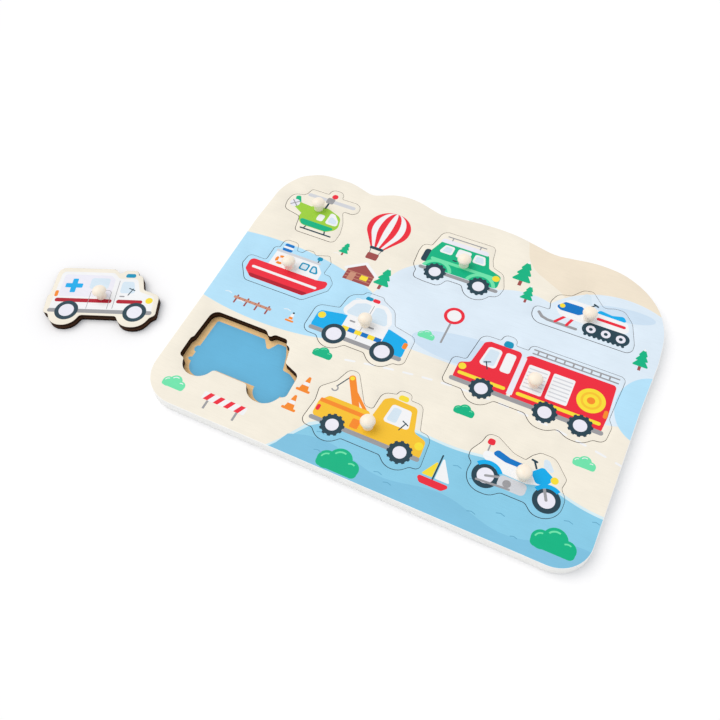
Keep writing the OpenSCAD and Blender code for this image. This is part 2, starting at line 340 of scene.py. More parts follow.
def soft(radius, *points):
    """A polygon with its corners rounded, by less where a side is too short."""
    made = []
    for i, (x, y) in enumerate(points):
        corner = Vector((x, y))
        before = Vector(points[i - 1]) - corner
        after = Vector(points[(i + 1) % len(points)]) - corner
        inner = before.angle(after)
        if inner > STRAIGHT or radius <= 0:
            made.append((x, y))
            continue
        reach = min(radius / math.tan(inner / 2), CORNER_REACH * before.length, CORNER_REACH * after.length)
        r = reach * math.tan(inner / 2)
        u = before.normalized()
        v = after.normalized()
        hub = corner + (u + v).normalized() * (r / math.sin(inner / 2))
        first = corner + u * reach - hub
        last = corner + v * reach - hub
        start = math.atan2(first.y, first.x)
        sweep = (math.atan2(last.y, last.x) - start + math.pi) % math.tau - math.pi
        steps = int(abs(sweep) * r / ARC_STEP) + CORNER_STEPS
        turns = [start + sweep * k / steps for k in range(steps + 1)]
        made += arc(hub.x, hub.y, r, turns)
    return made


def block(x0, y0, x1, y1, radius=1.0):
    """A rectangle with round corners."""
    return soft(radius, (x0, y0), (x1, y0), (x1, y1), (x0, y1))


def bar(width, x0, y0, x1, y1):
    """A straight line with round ends."""
    along = Vector((x1 - x0, y1 - y0)).normalized() * width / 2
    side = Vector((-along.y, along.x))
    a = Vector((x0, y0)) - along
    b = Vector((x1, y1)) + along
    return soft(width / 2, a - side, b - side, b + side, a + side)


def line(width, *points):
    """Straight lines with round ends through the points."""
    return [bar(width, *a, *b) for a, b in zip(points, points[1:])]


def bow(x, y, r, start, stop, width):
    """A bent bar: part of a ring, from one angle to another."""
    steps = max(BOW_STEPS, int(abs(math.radians(stop - start)) * r / ARC_STEP))
    turns = [math.radians(start + (stop - start) * k / steps) for k in range(steps + 1)]
    return arc(x, y, r + width / 2, turns) + arc(x, y, r - width / 2, turns)[::-1]


def cog(x, y, r, teeth):
    """A knobbly tyre with the given number of lugs."""
    lug = 0.9
    made = []
    for k in range(teeth):
        for share, out in ((0, r - lug), (0.12, r), (0.52, r), (0.64, r - lug)):
            made += arc(x, y, out, [math.tau * (k + share) / teeth])
    return made


class Drawing(list):
    """Outlines with their inks, from the lowest to the topmost."""

    def __call__(self, ink, *outlines):
        self.extend((ink, outline) for outline in outlines)


def drawn(subject, corner):
    """What a function draws, with its origin at a corner, in the part's frame."""
    draw = Drawing()
    subject(draw)
    return [(ink, [(x + corner[0], y + corner[1]) for x, y in outline]) for ink, outline in draw]


# The vehicles, each in millimetres from the lower left corner of a pocket centred round it


def wheels(draw, y, places, r=8.4, hub=5.4, lugs=0):
    """Tyres with pale hubs, plain or with lugs."""
    for x in places:
        draw("navy", cog(x, y, r, lugs) if lugs else disc(x, y, r))
        draw("pale", disc(x, y, hub))


def helicopter(draw):
    draw("navy", bar(1.3, 22.6, 4.6, 47.6, 4.6), bar(1.1, 26, 9, 25, 4.6), bar(1.1, 41, 9, 42.4, 4.6))
    draw("leaf", soft(1.5, (4, 33), (7.4, 34.6), (11.5, 27), (8, 22)))
    draw("lime", soft(2, (5, 28.6), (5.4, 23.8), (20, 16), (24, 27)))
    draw("pale", disc(6.6, 26, 3.9))
    draw("grey", bar(0.9, 4, 23.6, 9.2, 28.4), bar(0.9, 4, 28.4, 9.2, 23.6))
    draw("lime", soft(7, (15.5, 14), (21, 7.6), (42, 7.6), (49.6, 13), (46.5, 25.5), (33, 30.5), (18, 27.5)))
    draw("leaf", soft(3.2, (16.6, 13.6), (21.6, 8), (41.6, 8), (48.8, 13.2)))
    draw("white", soft(2, (37.4, 15.6), (47.6, 15.6), (46.2, 21.2), (41.4, 26.4), (37.4, 27.6)))
    draw("glass", soft(1.4, (39, 17.2), (46, 17.2), (45, 20.8), (39, 24.4)))
    draw("white", block(29.4, 16.2, 34.8, 22.8, 1.6))
    draw("navy", bar(1.5, 31, 30, 31, 36))
    draw("silver", block(11.8, 36.6, 52.4, 40, 1.7))
    draw("grey", block(28, 35.4, 34.2, 41.4, 1.2))
    draw("red", soft(2.4, (29.8, 41.4), (35.2, 41.4), (34.6, 46.2), (30.4, 46.2)))


def rescue_boat(draw):
    draw("white", soft(2, (17.6, 17), (17.6, 34.8), (51, 34.8), (57.4, 28), (58, 18)))
    draw("silver", block(16.8, 33.8, 53.2, 36, 1))
    draw("royal", soft(1.4, (20.4, 36), (28.6, 36), (27.6, 43.2), (20.4, 43.2)))
    draw("white", block(20.4, 38.6, 28.2, 40.6, 0))
    draw("navy", bar(0.9, 50.6, 36, 50.6, 38))
    draw("teal", soft(1.5, (48.2, 37.6), (53, 37.6), (52.4, 41.2), (48.8, 41.2)))
    draw("teal", block(39.8, 24.8, 46.8, 31.6, 1.4))
    draw("teal", soft(1.4, (48.4, 24.8), (56, 24.8), (51.8, 31.6), (48.4, 31.6)))
    draw("glass", block(41, 26, 45.6, 30.4, 0.9))
    draw("glass", soft(0.9, (49.6, 26), (53.8, 26), (51.2, 30.4), (49.6, 30.4)))
    draw("orange", disc(24.4, 27, 4.3))
    draw("white", disc(24.4, 27, 2.1))
    for k in range(4):
        draw("white", bow(24.4, 27, 3.2, 36 + 90 * k, 54 + 90 * k, 2.3))
    draw("red", soft(
        3.4, (3.4, 20.4), (4.6, 9.6), (11.6, 3.8), (54.4, 3.8), (66.2, 16.4), (66.2, 22.4), (57, 20.4)))
    draw("crimson", soft(2, (7.4, 7.2), (11.7, 4), (54.2, 4), (57.8, 7.2)))
    draw("white", block(8, 12.4, 60.6, 14.6, 1))


def police_car(draw):
    draw("blue", soft(4, (3.8, 11), (3.8, 26.6), (20, 30), (56, 31), (71.4, 27), (72.2, 11)))
    draw("white", soft(5, (16.4, 30.4), (21.8, 44.6), (30, 48.2), (46, 48.2), (51, 44), (57.6, 30.4)))
    draw("white", block(24, 10.8, 54.6, 31.6, 1))
    draw("glass", soft(2, (21, 31.8), (25, 42.2), (31, 45), (36, 45), (36, 31.8)))
    draw("glass", soft(2, (39, 31.8), (39, 45), (45, 45), (48.8, 41.4), (53, 31.8)))
    draw("grey", bar(0.5, 37.4, 14, 37.4, 45))
    draw("grey", block(41, 26.2, 45.4, 27.6, 0.7), block(27, 26.2, 31.4, 27.6, 0.7))
    for k in range(6):
        left = 24.6 + 4.9 * k
        draw("royal" if k % 2 else "lemon", block(left, 17.8, left + 4.9, 21.4, 0))
    draw("teal", soft(1.4, (28.6, 48), (29.4, 51.2), (34.4, 51.2), (34.4, 48)))
    draw("red", soft(1.4, (34.4, 48), (34.4, 51.2), (39.4, 51.2), (40.2, 48)))
    draw("grey", block(3.4, 9.6, 72.6, 13, 1.6))
    draw("lemon", disc(7.4, 23.4, 2.8))
    draw("orange", block(68.8, 20.2, 72, 25.4, 1.4))
    wheels(draw, 12.2, (22.1, 58.1))


def ambulance(draw):
    draw("white", soft(
        3.4, (4.2, 12), (5.4, 48.8), (44, 48.8), (49, 43.6), (62.6, 43.6), (66.4, 32), (78, 27.6),
        (78.6, 12)))
    draw("pale", soft(2, (7.6, 26), (8, 46.2), (42.4, 46.2), (46.2, 42.6), (46.2, 26)))
    draw("glass", soft(2, (52, 30.2), (52, 41), (60.4, 41), (63.6, 30.2)), block(28.6, 33.4, 42.6, 43.4, 2))
    draw("navy", bar(0.8, 58.6, 28.6, 61.2, 34.4), bar(0.8, 58.4, 34.8, 62.6, 33))
    draw("crimson", block(6.4, 20.8, 48, 24.2, 1.6), block(51.4, 20.8, 70.4, 24.2, 1.6))
    draw("blue", block(15, 29.6, 19, 42.4, 0.8), block(10.6, 34, 23.4, 38, 0.8))
    draw("grey", *line(0.4, (31, 15.4), (31, 30.6), (32.6, 32.2), (44.4, 32.2), (46, 30.6), (46, 15.4)))
    draw("grey", bar(0.45, 49.8, 16, 49.8, 41.6), block(52.6, 26.6, 56.4, 27.8, 0.6))
    draw("teal", soft(1.4, (52.6, 44.8), (53.6, 48.4), (60, 48.4), (61, 44.8)))
    draw("grey", block(3.6, 11.4, 79.2, 14.8, 1.6))
    draw("lemon", disc(75, 24, 2.7))
    draw("orange", block(4.8, 25.4, 7.4, 31, 1.2))
    wheels(draw, 13.4, (17.4, 66.7))


def empty_pocket(draw):
    """The blue silhouette where the ambulance goes, fuller than the vehicle's print."""
    draw("recess", soft(
        1.6, (6.4, 12.2), (6.4, 48.8), (44.4, 48.8), (50.3, 41), (54.8, 49), (61.2, 49), (64.8, 42),
        (68.2, 31.2), (74, 30.4), (79.6, 27), (80.4, 22), (80.4, 12.2)))
    draw("recess", disc(17.2, 12.8, 9.8), disc(66.7, 12.5, 9.6))
    draw("recess", oval(6.4, 22.6, 2.4, 2.8), oval(7.4, 13.8, 3, 1.6))


def tow_truck(draw):
    draw("navy", bar(0.8, 14.6, 48.6, 10.2, 40))
    draw("grey", bow(9.4, 37.6, 2, 90, -150, 1))
    draw("orange", bar(4.6, 30, 27, 16.6, 49), bar(2.2, 35, 30, 23.6, 40))
    draw("lemon", disc(16.6, 49, 1.6))
    draw("yellow", soft(3, (4.4, 14), (4.2, 25), (9, 31), (38.6, 31), (39.4, 12)))
    draw("yellow", soft(
        3.4, (38, 12), (42, 43.4), (46.4, 46.4), (64.4, 45.8), (69.4, 28.6), (78.4, 26), (79.4, 12)))
    draw("orange", block(4.6, 24.8, 37.6, 27.8, 1), block(30, 15.6, 35.6, 22.4, 1))
    draw("white", soft(2.2, (47.4, 28.4), (48.8, 42.4), (62, 42), (65.4, 28.4)))
    draw("glass", soft(1.6, (49.2, 30), (50.4, 40.6), (56, 40.6), (56, 30)))
    draw("navy", bar(0.8, 59.6, 26.6, 62, 32.6), bar(0.8, 59.6, 33.4, 63.6, 31.6))
    draw("lemon", soft(1.8, (49.6, 46.8), (50.6, 50.8), (56.4, 50.8), (57.4, 46.8)))
    draw("lemon", disc(75.6, 21.2, 2.8))
    draw("red", block(4.8, 18, 7.4, 22.6, 1.2))
    draw("grey", block(3.6, 10.8, 79.6, 14, 1.6))
    wheels(draw, 12.4, (20, 66.5), 8.2, 4.3, 12)


def off_roader(draw):
    draw("navy", block(4.2, 18.6, 9.4, 31, 2.4))
    draw("leaf", soft(
        3, (8.4, 15), (8.4, 31), (12.6, 42.6), (48.6, 42.6), (53, 30.6), (63.4, 27), (64.2, 15)))
    draw("pale", soft(2, (10.8, 41.4), (12.6, 45.4), (46.8, 45.4), (49.4, 41.4)))
    draw("grey", bar(1, 15, 48, 44.6, 48), bar(0.9, 19, 45.4, 19, 48), bar(0.9, 40.6, 45.4, 40.6, 48))
    draw("white", soft(1.6, (13.4, 31.6), (16.2, 39.8), (23.6, 39.8), (23.6, 31.6)))
    draw("white", block(26.4, 31.6, 36.6, 39.8, 1.6))
    draw("white", soft(1.6, (39.4, 31.6), (39.4, 39.8), (46.8, 39.8), (49.8, 31.6)))
    draw("glass", soft(1, (15.6, 33), (17.2, 38.4), (22.2, 38.4), (22.2, 33)))
    draw("glass", soft(1, (40.8, 33), (40.8, 38.4), (45.8, 38.4), (47.8, 33)))
    draw("mint", block(10.6, 22.6, 63, 25.2, 1.2))
    draw("mint", bow(51.6, 12.6, 10.4, 15, 165, 2.6), bow(18.4, 12.6, 10.4, 15, 165, 2.6))
    draw("lemon", disc(60.6, 24, 2.7))
    draw("navy", block(26, 27, 29.4, 28.2, 0.6))
    draw("grey", block(5.6, 11.6, 65.6, 14.6, 1.5))
    wheels(draw, 12.4, (18.4, 51.6), 8.2, 4.3, 12)


def snowmobile(draw):
    draw("grey", *line(2.2, (4.6, 9.4), (7.6, 6.4), (12, 5.2), (31.6, 5.2)))
    draw("red", bar(2, 17, 6, 23, 14), bar(2, 25, 6, 28, 14))
    draw("glass", soft(2, (24.6, 28), (29.4, 38), (33, 37.6), (36.6, 28)))
    draw("white", soft(
        4.5, (12.6, 19.6), (21.4, 28.6), (37, 29), (45, 24.4), (61.6, 25), (66.4, 15.2), (40, 11.6),
        (18, 12.6)))
    draw("blue", soft(2.2, (40, 24.4), (42.6, 27.6), (51, 26.4), (58.4, 28.6), (62.4, 24)))
    draw("royal", soft(2, (13.4, 19.4), (18.8, 25.2), (31, 25.4), (34, 20.6), (30, 17.4), (17.4, 17)))
    draw("red", block(42, 18.6, 62, 21, 1.1))
    draw("lemon", disc(17.6, 21.2, 1.9))
    draw("navy", bar(1.1, 35.4, 27.6, 38.6, 30.6), bar(1.3, 37.4, 31, 40.2, 29.8))
    draw("navy", *[disc(38.4 + 3.2 * k, 4, 1.1) for k in range(9)])
    draw("navy", block(35, 4, 67.2, 14.6, 5.2))
    for x in (41, 51.2, 61.4):
        draw("pale", disc(x, 9.3, 3.2))
        draw("navy", disc(x, 9.3, 1.3))


def fire_engine(draw):
    draw("red", soft(
        3, (5.4, 13), (5.4, 26.6), (12.4, 29.4), (15.4, 48.4), (19, 50.4), (41.4, 50.4), (42.4, 13)))
    draw("red", soft(2.6, (44.6, 13), (44.6, 48.8), (47.4, 50.6), (104.4, 50.6), (105.2, 26), (104.2, 13)))
    draw("pale", block(41.6, 16, 45.4, 47.4, 0.4))
    draw("white", soft(2.4, (17.2, 30.4), (19.4, 46.4), (29, 46.4), (29, 30.4)))
    draw("white", block(31.6, 30.4, 38.6, 46.4, 1.8))
    draw("glass", soft(1.6, (19, 32), (20.6, 44.8), (27.4, 44.8), (27.4, 32)))
    draw("navy", bar(0.8, 24.2, 28.6, 21.6, 34), bar(0.8, 20.4, 33, 24.4, 34.8))
    for left in (48.2, 65):
        draw("white", block(left, 22.6, left + 14.4, 43.6, 1.2))
        draw("silver", *[block(left + 0.9, 25.2 + 3 * k, left + 13.5, 26.2 + 3 * k, 0.4) for k in range(6)])
    for r, ink in ((9.2, "lemon"), (6.6, "yellow"), (5, "lemon"), (2.6, "orange")):
        draw(ink, disc(92.4, 33.2, r))
    draw("lemon", block(7.4, 17.6, 40, 20.2, 1.2), block(47.4, 17.6, 102.6, 20.2, 1.2))
    draw("grey", block(47, 52.3, 105, 53.4, 0.5), block(47, 55.6, 105, 56.7, 0.5))
    draw("grey", *[block(50 + 6 * k, 53, 51.1 + 6 * k, 56, 0.1) for k in range(9)])
    draw("teal", soft(2, (27, 50.2), (28, 55.6), (33.4, 55.6), (34.4, 50.2)))
    draw("grey", block(3.8, 11.2, 106, 14.6, 1.6))
    draw("lemon", disc(8.6, 24.2, 2.6))
    draw("orange", block(102.2, 24, 104.8, 30, 1.2))
    wheels(draw, 12.8, (25.9, 68.4, 91.4), 8.2, 4.4, 12)


def motorcycle(draw):
    wheels(draw, 12.4, (14.2,), hub=5.2)
    wheels(draw, 12.2, (52.2,), hub=5.2)
    draw("grey", bar(1.8, 52, 12.2, 44.4, 28), bar(1.6, 14.2, 12.4, 26, 16))
    draw("silver", block(22, 8.4, 39.4, 17, 3))
    draw("grey", disc(27.6, 12.4, 2.6), bar(1.5, 30, 9.4, 10, 8))
    draw("white", soft(
        4, (7.4, 24), (8.4, 29), (22, 28.4), (37, 27), (46, 31), (52.4, 26), (50, 21), (38, 17.2),
        (20, 18)))
    draw("royal", soft(2.2, (12.6, 28), (15.4, 32), (24, 29.4), (33, 29), (35, 25.6), (22, 25.6)))
    draw("blue", soft(2.4, (38, 26), (44, 32.2), (52.6, 27), (49, 20.6), (43, 20)))
    draw("glass", soft(2, (44, 32), (42.6, 38), (46.2, 37.6), (53, 29)))
    draw("blue", bow(52.2, 12.2, 9, 55, 150, 2.8), bow(14.2, 12.4, 9, 30, 140, 2.8))
    draw("lemon", disc(52.8, 26.2, 2.4))
    draw("grey", bar(1, 9.8, 29, 9.8, 33.6))
    draw("red", soft(1.6, (7.2, 33.2), (7.8, 37.6), (11.8, 37.6), (12.4, 33.2)))
    draw("navy", bar(1.2, 40.4, 29.6, 37.8, 34), bar(1.4, 36.4, 34.2, 39.4, 33.8))


# The scenery of the board, in millimetres from the lower left corner of the board's box


class Motif:
    """A place on the board where shapes are given in units of a size; corner radii stay in mm."""

    def __init__(self, x, y, size):
        self.x = x
        self.y = y
        self.size = size

    def at(self, u, v):
        return self.x + self.size * u, self.y + self.size * v

    def soft(self, radius, *points):
        return soft(radius, *[self.at(u, v) for u, v in points])

    def block(self, u0, v0, u1, v1, radius):
        return block(*self.at(u0, v0), *self.at(u1, v1), radius)

    def disc(self, u, v, r):
        return disc(*self.at(u, v), self.size * r)

    def bow(self, u, v, r, start, stop, width):
        return bow(*self.at(u, v), self.size * r, start, stop, self.size * width)


def pine(draw, x, y, high):
    """Three tiers of needles, each with snow on its top."""
    own = Motif(x, y, high)
    snow = 0.34
    draw("brown", own.block(-0.05, 0, 0.05, 0.3, 0.2))
    for base, wide, top in ((0.18, 0.3, 0.62), (0.42, 0.24, 0.82), (0.64, 0.17, 1.0)):
        edge = wide * snow
        level = top - snow * (top - base)
        draw("leaf", own.soft(high * 0.04, (-wide, base), (wide, base), (0, top)))
        draw("white", own.soft(high * 0.02, (-edge, level), (edge, level), (0, top)))


def bush(draw, x, y, wide, ink="leaf", lit="mint"):
    own = Motif(x, y, wide)
    draw(ink, own.disc(-0.62, 0.3, 0.5), own.disc(0, 0.55, 0.62), own.disc(0.64, 0.3, 0.46))
    draw(ink, own.block(-1.1, -0.16, 1.08, 0.4, wide * 0.26))
    draw(lit, own.bow(0, 0.55, 0.42, 70, 150, 0.09))
    draw(lit, own.bow(-0.62, 0.3, 0.32, 90, 170, 0.08), own.bow(0.64, 0.3, 0.28, 60, 130, 0.08))


def jetty(draw, x, y, long):
    """A wooden landing stage on posts."""
    deck = 2.2
    boards = 7
    for k in range(4):
        post = x + long * (0.06 + 0.28 * k)
        draw("brown", block(post, y - 4, post + 1.3, y + 3.6, 0.3))
    draw("clay", block(x, y, x + long, y + deck, 0.4))
    for k in range(1, boards):
        seam = x + long * k / boards
        draw("brown", block(seam, y, seam + 0.35, y + deck, 0))


def buoy(draw, x, y, s):
    own = Motif(x, y, s)
    draw("white", own.soft(s * 0.12, (-0.3, 0), (0.3, 0), (0.16, 1.1), (-0.16, 1.1)))
    draw("orange", own.soft(0, (-0.27, 0.26), (0.27, 0.26), (0.21, 0.6), (-0.21, 0.6)))
    draw("navy", own.disc(0, 1.2, 0.13))
    draw("orange", own.block(-0.55, -0.1, 0.55, 0.16, s * 0.12))


def cone(draw, x, y, high):
    own = Motif(x, y, high)
    draw("orange", own.block(-0.42, 0, 0.42, 0.16, high * 0.07))
    draw("orange", own.soft(high * 0.06, (-0.28, 0.1), (0.28, 0.1), (0.07, 1), (-0.07, 1)))
    draw("white", own.soft(0, (-0.2, 0.42), (0.2, 0.42), (0.15, 0.64), (-0.15, 0.64)))


def cabin(draw, x, y, s):
    own = Motif(x, y, s)
    draw("brown", own.block(0, 0, 1.5, 0.8, 0.4), own.soft(0.5, (0, 0.7), (1.5, 0.7), (0.75, 1.3)))
    for k in range(3):
        level = y + s * (0.18 + 0.2 * k)
        draw("clay", block(x + 0.5, level, x + s * 1.5 - 0.5, level + 0.5, 0.2))
    draw("white", *line(s * 0.17, own.at(-0.12, 0.72), own.at(0.75, 1.36), own.at(1.62, 0.72)))
    draw("clay", own.block(0.22, 0, 0.56, 0.56, 0.4))
    draw("lemon", own.block(0.84, 0.26, 1.24, 0.56, 0.3))


def barrier(draw, x, y, wide):
    own = Motif(x, y, wide)
    for left in (0.14, 0.82):
        draw("grey", own.block(left, 0, left + 0.05, 0.3, 0.3))
    draw("white", own.block(0, 0.2, 1, 0.38, 0.8))
    for k in range(4):
        left = 0.04 + 0.24 * k
        draw("red", own.soft(0, (left, 0.2), (left + 0.11, 0.2), (left + 0.2, 0.38), (left + 0.09, 0.38)))


def balloon(draw, x, y, r):
    """A hot-air balloon with red and white gores."""
    own = Motif(x, y, r)
    mouth = -1.32
    for side in (-1, 1):
        draw("navy", bar(0.5, *own.at(side * 0.28, mouth), *own.at(side * 0.2, -1.66)))
    draw("brown", own.block(-0.27, -2, 0.27, -1.62, r * 0.07))
    turns = [math.radians(a) for a in range(-30, 211, 6)]
    for share, ink in ((1, "red"), (0.74, "white"), (0.44, "red"), (0.15, "white")):
        crown = [own.at(share * math.cos(t), math.sin(t)) for t in turns]
        draw(ink, crown + [own.at(-share * 0.3, mouth), own.at(share * 0.3, mouth)])
    draw("navy", own.block(-0.33, mouth - 0.08, 0.33, mouth + 0.08, r * 0.06))


def sail(draw, x, y, s):
    """A small sailing boat."""
    own = Motif(x, y, s)
    draw("white", own.soft(s * 0.04, (0.06, 0.36), (0.62, 0.36), (0.06, 1.3)))
    draw("lemon", own.soft(s * 0.04, (-0.04, 0.36), (-0.46, 0.36), (-0.04, 1.1)))
    draw("navy", bar(s * 0.06, *own.at(0, 0.2), *own.at(0, 1.32)))
    draw("red", own.soft(s * 0.14, (-0.62, 0.28), (-0.4, 0), (0.44, 0), (0.72, 0.28)))


def round_sign(draw, x, y, r, high):
    draw("grey", block(x - 0.7, y - high, x + 0.7, y, 0.3))
    draw("red", disc(x, y, r))
    draw("white", disc(x, y, r * 0.68))


def ticks(draw, ink, long, places):
    """Short water marks."""
    for x, y in places:
        draw(ink, *line(0.55, (x, y), (x + long * 0.5, y + long * 0.16), (x + long, y)))


ROAD_START = 92
ROAD_LENGTH = 240
ROAD_LEVEL = 72
ROAD_RISE = 17


def road_middle(x):
    """How high the middle of the road is; it climbs and comes down again."""
    return ROAD_LEVEL + ROAD_RISE * math.sin((x - ROAD_START) / ROAD_LENGTH * math.pi)


def road(above, below):
    """A band across the board, by how far it reaches above and below its middle."""
    xs = range(ROAD_START, ROAD_START + ROAD_LENGTH, 4)
    lower = [(x, road_middle(x) - below) for x in xs]
    return lower + [(x, road_middle(x) + above) for x in reversed(xs)]


def lane_marks(draw):
    """White dashes along the middle of the road."""
    dash = 6
    for x in range(120, 303, 13):
        slope = ROAD_RISE * math.pi / ROAD_LENGTH * math.cos((x - ROAD_START) / ROAD_LENGTH * math.pi)
        draw("white", bar(1.5, x, road_middle(x), x + dash, road_middle(x) + dash * slope))


def sea_shore(lift):
    """The shore from the front edge to the right, lifted by a few millimetres for its foam."""
    made = [(95 - lift, -12), (111 - lift, 8), (122 - lift, 24 + lift), (138, 36 + lift)]
    for k in range(66):
        bump = 8 * math.sin(math.pi * k / 60) + 2.2 * math.sin(k / 5)
        made.append((150 + 2.6 * k, 41 + lift + bump))
    return made + [(330, -12)]


def deep_water():
    """A darker swell along the front."""
    swell = [(112 + 3 * k, 13 + 4 * math.sin(k / 4.4) + 2 * math.sin(k / 9)) for k in range(72)]
    return [(100, -12), (108, 4)] + swell + [(330, -12)]


def scenery(draw):
    draw("cream", [(-20, -20), (330, -20), (330, 260), (-20, 260)])
    draw("sand", soft(30, (186, 260), (204, 206), (236, 190), (262, 150), (330, 120), (330, 260)))
    draw("lake", oval(40, 118, 92, 36, -3))
    draw("snow", block(112, 104, 330, 150, 16), oval(162, 148, 46, 36), oval(214, 140, 44, 42))
    draw("snow", oval(276, 152, 56, 52))
    draw("drift", oval(196, 118, 44, 12, 4), oval(276, 190, 22, 6, 8))
    draw("lake", oval(312, 122, 22, 26))
    draw("cream", road(13, 15))
    draw("foam", sea_shore(1.8))
    draw("sea", sea_shore(0))
    draw("deep", deep_water())


def motifs(draw):
    lane_marks(draw)
    balloon(draw, 97, 198, 16.5)
    cabin(draw, 86, 141, 14)
    for x, y, high in ((114, 142, 22), (203, 186, 25), (211.5, 173, 17), (297, 150, 19), (76, 160, 14)):
        pine(draw, x, y, high)
    round_sign(draw, 172, 142, 7.2, 25)
    bush(draw, 161, 117, 5.4, "mint", "snow")
    bush(draw, 104, 74, 6.4)
    cone(draw, 105.5, 44, 12)
    cone(draw, 103.5, 28, 12)
    barrier(draw, 48, 6, 32)
    bush(draw, 26, 12, 7.5, "mint", "white")
    bush(draw, 206, 72, 6.2)
    bush(draw, 285, 68, 6.4, "mint", "white")
    jetty(draw, 24, 93, 30)
    buoy(draw, 70, 91, 6)
    sail(draw, 206, 17, 17)
    bush(draw, 150, 3.5, 12.5)
    bush(draw, 284, 10, 12)
    ticks(draw, "white", 5, ((16, 96), (28, 92), (104, 128), (62, 99), (70, 160), (112, 96)))
    ticks(draw, "ripple", 5, (
        (132, 10), (232, 12), (248, 18), (180, 8), (172, 12), (285, 30), (128, 22), (214, 36)))
    ticks(draw, "ripple", 4, ((300, 36), (226, 32), (268, 38), (260, 8)))


VEHICLES = {
    "helicopter": helicopter,
    "rescue_boat": rescue_boat,
    "police_car": police_car,
    "ambulance": ambulance,
    "tow_truck": tow_truck,
    "off_roader": off_roader,
    "snowmobile": snowmobile,
    "fire_engine": fire_engine,
    "motorcycle": motorcycle,
}


def box_mm(node):
    low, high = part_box(node)
    return low / MM, high / MM


def landscape():
    """All that is printed round the vehicles, in the part's frame."""
    corner = box_mm("frame_panel")[0]
    return drawn(scenery, corner) + drawn(motifs, corner)


def vehicle_print(name):
    """A vehicle as it is printed where it sits in its pocket, in the part's frame."""
    if name == "ambulance":
        return drawn(ambulance, POCKET_CORNER)
    low = box_mm(name + "_piece")[0]
    return drawn(VEHICLES[name], (low.x - PIECE_GAP, low.y - PIECE_GAP))


# Panels


# What counts as facing up, and how near two heights or distances in mm count as the same
TOP_FACE_LEAST = 0.9
SAME_PLACE = 0.01

# Triangulation: only what lies inside the outlines, and how near two points are one
INSIDE = 1
PRINT_EPSILON = 1e-4
UNDERSIDE_EPSILON = 1e-7


def chained(edges):
    """Directed edges joined end to end into closed loops."""
    following = dict(edges)
    loops = []
    while following:
        start = point = next(iter(following))
        loop = []
        while point in following:
            loop.append(point)
            point = following.pop(point)
        assert point == start, "an outline of the model is open"
        loops.append(loop)
    return loops


def around(loop):
    """Each item of a loop with the next."""
    return zip(loop, loop[1:] + loop[:1])


def outer_edges(faces):
    """The edges that only one of the faces has, in that face's direction."""
    edges = {pair for face in faces for pair in around(face)}
    return [(a, b) for a, b in edges if (b, a) not in edges]


def area(points):
    """Area of an outline, below zero where it runs clockwise."""
    return sum(a[0] * b[1] - a[1] * b[0] for a, b in around(points)) / 2


def box_of(outline):
    """Lowest x and y and highest x and y of an outline."""
    xs = [p[0] for p in outline]
    ys = [p[1] for p in outline]
    return min(xs), min(ys), max(xs), max(ys)


def top_loops(node, z):
    """Outlines of a CAD node's top face, in mm, with the wood on their left."""
    mesh = frame["nodes"][node].data
    faces = []
    for face in mesh.polygons:
        if face.normal.z > TOP_FACE_LEAST and abs(face.center.z / MM - z) < SAME_PLACE:
            corners = [mesh.vertices[i].co / MM for i in face.vertices]
            faces.append([(round(c.x, 3), round(c.y, 3)) for c in corners])
    return sorted(chained(sorted(outer_edges(faces))), key=area, reverse=True)


def inset(loop, amount):
    """A loop moved into the wood, with mitred corners."""
    made = []
    for i, point in enumerate(loop):
        here = Vector(point)
        before = (here - Vector(loop[i - 1])).normalized()
        after = (Vector(loop[(i + 1) % len(loop)]) - here).normalized()
        a = Vector((-before.y, before.x))
        b = Vector((-after.y, after.x))
        made.append(here + (a + b) * (amount / (1 + a.dot(b))))
    return made


def anticlockwise(points):
    return points if area(points) > 0 else points[::-1]


def filled(loops, drawing, blank):
    """Triangles between the loops, cut along the drawing: points, triangles and the ink of each."""
    points = []
    faces = []
    for outline in loops + [outline for _, outline in drawing]:
        faces.append(list(range(len(points), len(points) + len(outline))))
        points += [Vector(p) for p in anticlockwise(outline)]
    corners, _, triangles, _, _, holders = delaunay_2d_cdt(points, [], faces, INSIDE, PRINT_EPSILON, True)
    holes = set(range(1, len(loops)))
    kept = []
    inks = []
    for triangle, inside in zip(triangles, holders):
        if 0 in inside and not holes.intersection(inside):
            top = max(inside)
            kept.append(list(triangle))
            inks.append(drawing[top - len(loops)][0] if top >= len(loops) else blank)
    return corners, kept, inks


def place_on(loop, point):
    """How far a point is from a loop, the stretch it is nearest to, and its share along it."""
    spots = []
    for i, (start, end) in enumerate(around(loop)):
        along = end - start
        share = min(1, max(0, (point - start).dot(along) / along.length_squared))
        spots.append(((start + along * share - point).length, i, share))
    return min(spots)


